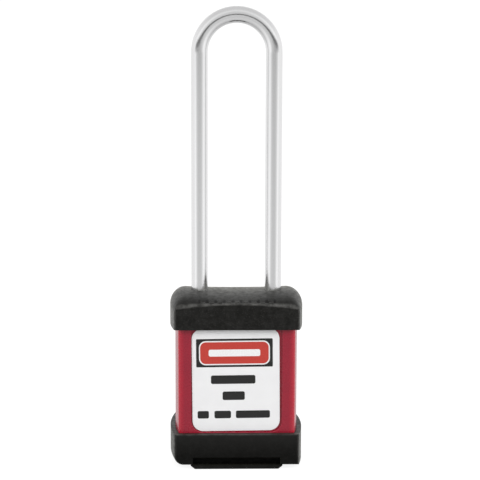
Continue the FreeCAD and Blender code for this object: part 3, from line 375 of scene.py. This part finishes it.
def painted_edge_highlight(finish, node, edge_low, edge_high, level, fall=0.0):
    """A painted highlight, in patches, on a cover's front and back edges between two heights and on
    its corners.

    The heights are those in the middle. The fall is how far they sink by the cover's sides.
    """
    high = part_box(node)[1]
    x, y, z = finish.axes(finish.here)
    out, aside = finish.maths("ABSOLUTE", y), finish.maths("ABSOLUTE", x)
    arch = finish.maths("MULTIPLY", finish.maths("POWER", x, 2.0), fall / high.x ** 2)
    face = finish.span(out, 0, 1, high.y - 1.1 * MM, high.y - 0.35 * MM)
    brow = finish.span(finish.maths("ADD", z, arch), 0, 1, edge_low, edge_high)
    corner = finish.span(aside, 0, 1, high.x - 1.9 * MM, high.x - 1.2 * MM)
    patches = finish.span(finish.noise(520, 4, 0.6), 0.25, 1.0, 0.38, 0.62)
    # The result is the painted highlight's grey, which is added to the rubber's colour.
    return finish.product(face, finish.maths("MAXIMUM", brow, corner), patches, level)


RIB_PITCH = 2.4 * MM
SHINE = 0.5
GRIMY_SHINE = 0.12


def grime_between_ribs(finish):
    """Dirt in the grooves between the grip ribs, which takes their shine away.

    It works on the specular level, which the export leaves out, so the exported cover is as
    shiny in the grooves as beside them.
    """
    low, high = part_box("top_cover")
    x, y, z = finish.axes(finish.here)
    wave = finish.maths("COSINE", finish.maths("MULTIPLY", x, 2 * math.pi / RIB_PITCH))
    groove = finish.span(wave, 1, 0, -1, 0.1)
    ribbed = finish.span(finish.maths("ABSOLUTE", x), 1, 0, 4.4 * RIB_PITCH, 4.7 * RIB_PITCH)
    front = finish.span(y, 1, 0, low.y + 2.2 * MM, low.y + 3.2 * MM)
    behind_brow = finish.span(y, 0, 1, low.y + 0.5 * MM, low.y + 0.9 * MM)
    above = finish.span(z, 0, 1, high.z - 2.6 * MM, high.z - 2.3 * MM)
    dirty = finish.product(groove, ribbed, front, behind_brow, above)
    finish.link(finish.span(dirty, SHINE, GRIMY_SHINE), finish.shader.inputs["Specular IOR Level"])


def cap_rubber():
    """The top cover: a painted highlight along the brow of its front and back faces."""
    finish = moulded_rubber("cap_rubber", CAP_GREY, 0.36, 1.335)
    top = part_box("top_cover")[1].z
    # Painted highlight along the brow and on the corners of the top cover.
    edge_highlight = painted_edge_highlight(finish, "top_cover", top - 2.55 * MM, top - 2.1 * MM, 0.075, fall=1.5 * MM)
    grime_between_ribs(finish)
    return rubber_colour(finish, CAP_GREY, edge_highlight, dust(finish, 0.011))


def boot_rubber():
    """The bottom cover: painted shade that makes it darker towards the bottom, and a painted
    highlight along its rim.
    """
    finish = moulded_rubber("boot_rubber", BOOT_GREY, 0.38, 1.235)
    low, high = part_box("bottom_cover")
    # Painted highlight along the top edge of the rim.
    edge_highlight = painted_edge_highlight(finish, "bottom_cover", high.z - 0.5 * MM, high.z, 0.04)
    # Painted shade: the grey rises towards the top, so the cover is darker towards the bottom, where
    # less light reaches it.
    height = finish.axes(finish.here)[2]
    bloom = finish.span(height, 0, 0.010, low.z + 4 * MM, high.z)
    return rubber_colour(finish, BOOT_GREY, edge_highlight, bloom, dust(finish, 0.003))


def flap_rubber():
    finish = moulded_rubber("flap_rubber", FLAP_GREY, 0.40, 1.27)
    return rubber_colour(finish, FLAP_GREY, dust(finish, 0.004))


ALONG_THE_DRAW = 0.02


def drawn_steel():
    """Stainless rod: fine draw lines that follow the legs and go round the bow."""
    finish = Finish("shackle_steel", (0.80, 0.80, 0.805), 0.19, metallic=1.0)
    low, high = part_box("shackle")
    bow_level = high.z - (high.x - low.x) / 2
    x, y, z = finish.axes(finish.here)
    above = finish.maths("MAXIMUM", finish.maths("SUBTRACT", z, bow_level), 0.0)
    squares = finish.maths("ADD", finish.maths("POWER", x, 2.0), finish.maths("POWER", above, 2.0))
    join = finish.node("CombineXYZ")
    finish.link(finish.maths("SQRT", squares), join.inputs[0])
    finish.link(y, join.inputs[1])
    finish.link(finish.maths("MULTIPLY", z, ALONG_THE_DRAW), join.inputs[2])
    drawn = join.outputs[0]
    broad = finish.noise(900, 3, where=drawn)
    finish.vary_roughness(broad, smooth=0.17, rough=0.21)
    finish.vary_colour(broad, (0.77, 0.77, 0.775), (0.83, 0.83, 0.835))
    finish.bump(finish.noise(5200, 3, 0.55, where=drawn), height=0.0015 * MM)
    return finish.material


def clear_layer(finish):
    """The faint ripple of the film over label and print."""
    finish.bump(finish.noise(2600), height=0.004 * MM)


def white_laminate():
    """Printed film under a satin clear layer."""
    finish = Finish("label_laminate", (0.83, 0.83, 0.835), 0.33, ior=1.45)
    finish.vary_colour(finish.noise(220, 4), (0.815, 0.815, 0.82), (0.845, 0.845, 0.85))
    finish.vary_roughness(finish.noise(700, 4), smooth=0.30, rough=0.38)
    clear_layer(finish)
    return finish.material


def ink(name, colour):
    """Print under the same clear layer."""
    finish = Finish(name, colour, 0.34, ior=1.45)
    light = tuple(min(1.0, 1.12 * part + 0.004) for part in colour)
    finish.vary_colour(finish.noise(2400, 3), colour, light)
    clear_layer(finish)
    return finish.material


RING_STRETCH = 40


def turned_metal(name, colour, roughness, axis):
    """Machined metal with tool rings along an axis."""
    finish = Finish(name, colour, roughness, metallic=1.0)
    stretch = finish.node("Mapping")
    stretch.inputs["Scale"].default_value["XYZ".index(axis)] = RING_STRETCH
    finish.link(finish.here, stretch.inputs["Vector"])
    cloud = finish.noise(500, 4)
    finish.vary_colour(cloud, tuple(0.86 * part for part in colour), colour)
    finish.vary_roughness(cloud, roughness - 0.05, roughness + 0.08)
    finish.bump(finish.noise(120, where=stretch.outputs["Vector"]), height=0.01 * MM, strength=0.4)
    return finish.material


def plated_metal(name, colour, roughness):
    """Zinc plate: a fine crystal bloom, duller in patches."""
    finish = Finish(name, colour, roughness, metallic=1.0)
    bloom = finish.noise(1400, 4)
    finish.vary_colour(finish.noise(350, 4), tuple(0.80 * part for part in colour), colour)
    finish.vary_roughness(bloom, roughness - 0.07, roughness + 0.10)
    finish.bump(bloom, height=0.008 * MM, strength=0.4)
    return finish.material


def moulded_nylon():
    finish = Finish("carrier_plastic", (0.06, 0.06, 0.065), 0.5)
    finish.vary_colour(finish.noise(260, 3), (0.052, 0.052, 0.057), (0.070, 0.070, 0.076))
    finish.bump(finish.noise(3000), height=0.012 * MM)
    return finish.material


def dress_the_frame():
    """Gives every CAD node its finish."""
    finishes = {
        "crimson_plastic": crimson_plastic(),
        "cover_rubber": cap_rubber(),
        "flap_rubber": flap_rubber(),
        "label_laminate": white_laminate(),
        "shackle_steel": drawn_steel(),
        "ball_steel": turned_metal("ball_steel", (0.74, 0.74, 0.75), 0.12, "X"),
        "spring_steel": plated_metal("spring_steel", (0.50, 0.51, 0.53), 0.32),
        "carrier_plastic": moulded_nylon(),
        "frame_steel": plated_metal("frame_steel", (0.56, 0.56, 0.57), 0.38),
        "plated_steel": plated_metal("plated_steel", (0.60, 0.59, 0.54), 0.30),
        "cylinder_brass": turned_metal("cylinder_brass", (0.70, 0.53, 0.27), 0.26, "Z"),
        "pin_brass": turned_metal("pin_brass", (0.78, 0.60, 0.30), 0.22, "X"),
        "pin_steel": turned_metal("pin_steel", (0.62, 0.61, 0.58), 0.24, "Y"),
    }
    own_finish = {"bottom_cover": boot_rubber()}
    for sub_part in frame["record"]["subparts"]:
        name = sub_part["node"]
        mesh = frame["nodes"][name].data
        mesh.materials.clear()
        mesh.materials.append(own_finish.get(name, finishes[sub_part["material_slot"]]))
        for polygon in mesh.polygons:
            polygon.material_index = 0


# The print on the labels: plain panels and bars, with no lettering. Places are across and up
# from a label's middle, sizes are wide and high, and both are in millimetres.

INK_HIGH = 0.02 * MM
FRONT_TILT = -0.6
BACK_TILT = 0.3

HEADER_PLACE = (-0.34, 7.89)
HEADER_BAND = (21.7, 8.2)
HEADER_LINE = (20.1, 7.0)
HEADER_PANEL = (19.4, 6.3)
HEADER_BAR = (14.6, 2.0)
ROW_HIGH = 2.5
LOWER_ROW_HIGH = 2.2
LOWER_ROW_LEVEL = -10.1
LOWER_ROW_BARS = ((-10.97, -7.77), (-6.17, -1.47), (-0.07, 9.63))
RULE_WIDE = 21.4
RULE_TOP = 5.0
RULE_PITCH = 5.2
RULE_COUNT = 4


def bar(name, face, middle, size, corner, level, material):
    """A thin rounded plate on a label. face is the label's matrix: its Y is outwards."""
    mesh = bmesh.new()
    bmesh.ops.create_grid(mesh, x_segments=1, y_segments=1, size=0.5)
    bmesh.ops.scale(mesh, vec=(size[0] * MM, size[1] * MM, 1), verts=mesh.verts)
    bmesh.ops.bevel(mesh, geom=list(mesh.verts), offset=corner * MM, segments=6, profile=0.5,
                    affect="VERTICES", material=-1)
    rise = bmesh.ops.extrude_face_region(mesh, geom=list(mesh.faces))
    raised = [item for item in rise["geom"] if isinstance(item, bmesh.types.BMVert)]
    bmesh.ops.translate(mesh, vec=(0, 0, level * INK_HIGH), verts=raised)
    upright = Matrix.Rotation(math.radians(90), 4, "X")
    shift = Matrix.Translation((middle[0] * MM, 0, middle[1] * MM))
    bmesh.ops.transform(mesh, matrix=face @ shift @ upright, verts=mesh.verts)
    bmesh.ops.recalc_face_normals(mesh, faces=mesh.faces)
    data = bpy.data.meshes.new(name)
    mesh.to_mesh(data)
    mesh.free()
    data.materials.append(material)
    piece = bpy.data.objects.new(name, data)
    bpy.context.scene.collection.objects.link(piece)
    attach(piece, "body")


def label_face(node, tilt, turn):
    """The outer face of a label: X along its rows, Z up, -Y outwards."""
    low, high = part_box(node)
    middle = (low + high) / 2
    outer = low.y if turn == 0 else high.y
    place = Matrix.Translation((middle.x, outer, middle.z))
    return place @ Matrix.Rotation(math.radians(tilt), 4, "Y") @ Matrix.Rotation(turn, 4, "Z")


def print_front_label():
    """A red header panel in a black band, and three rows of black bars."""
    black = ink("print_black", (0.010, 0.010, 0.0095))
    red = ink("print_red", (0.475, 0.043, 0.031))
    white = ink("print_white", (0.80, 0.80, 0.80))
    front = label_face("front_label", FRONT_TILT, 0)
    bar("header_band", front, HEADER_PLACE, HEADER_BAND, 0.25, 1, black)
    bar("header_line", front, HEADER_PLACE, HEADER_LINE, 1.9, 2, white)
    bar("header_panel", front, HEADER_PLACE, HEADER_PANEL, 1.6, 3, red)
    bar("header_bar", front, HEADER_PLACE, HEADER_BAR, 0.5, 4, white)
    bar("row_upper", front, (-0.76, 0.13), (12.6, ROW_HIGH), 0.5, 1, black)
    bar("row_middle", front, (-0.66, -4.6), (6.3, ROW_HIGH), 0.5, 1, black)
    for number, (start, end) in enumerate(LOWER_ROW_BARS, 1):
        middle = ((start + end) / 2, LOWER_ROW_LEVEL)
        bar(f"row_lower_{number}", front, middle, (end - start, LOWER_ROW_HIGH), 0.45, 1, black)


def print_back_label():
    """A blank label to write on: a grey band and ruled lines."""
    grey = ink("print_grey", (0.30, 0.30, 0.31))
    back = label_face("back_label", BACK_TILT, math.pi)
    bar("back_band", back, (0, 11.2), (RULE_WIDE, 3.6), 0.4, 1, grey)
    for number in range(RULE_COUNT):
        middle = (0, RULE_TOP - RULE_PITCH * number)
        bar(f"back_line_{number}", back, middle, (RULE_WIDE, 0.22), 0.08, 1, grey)


studio()
dress_the_frame()
print_front_label()
print_back_label()
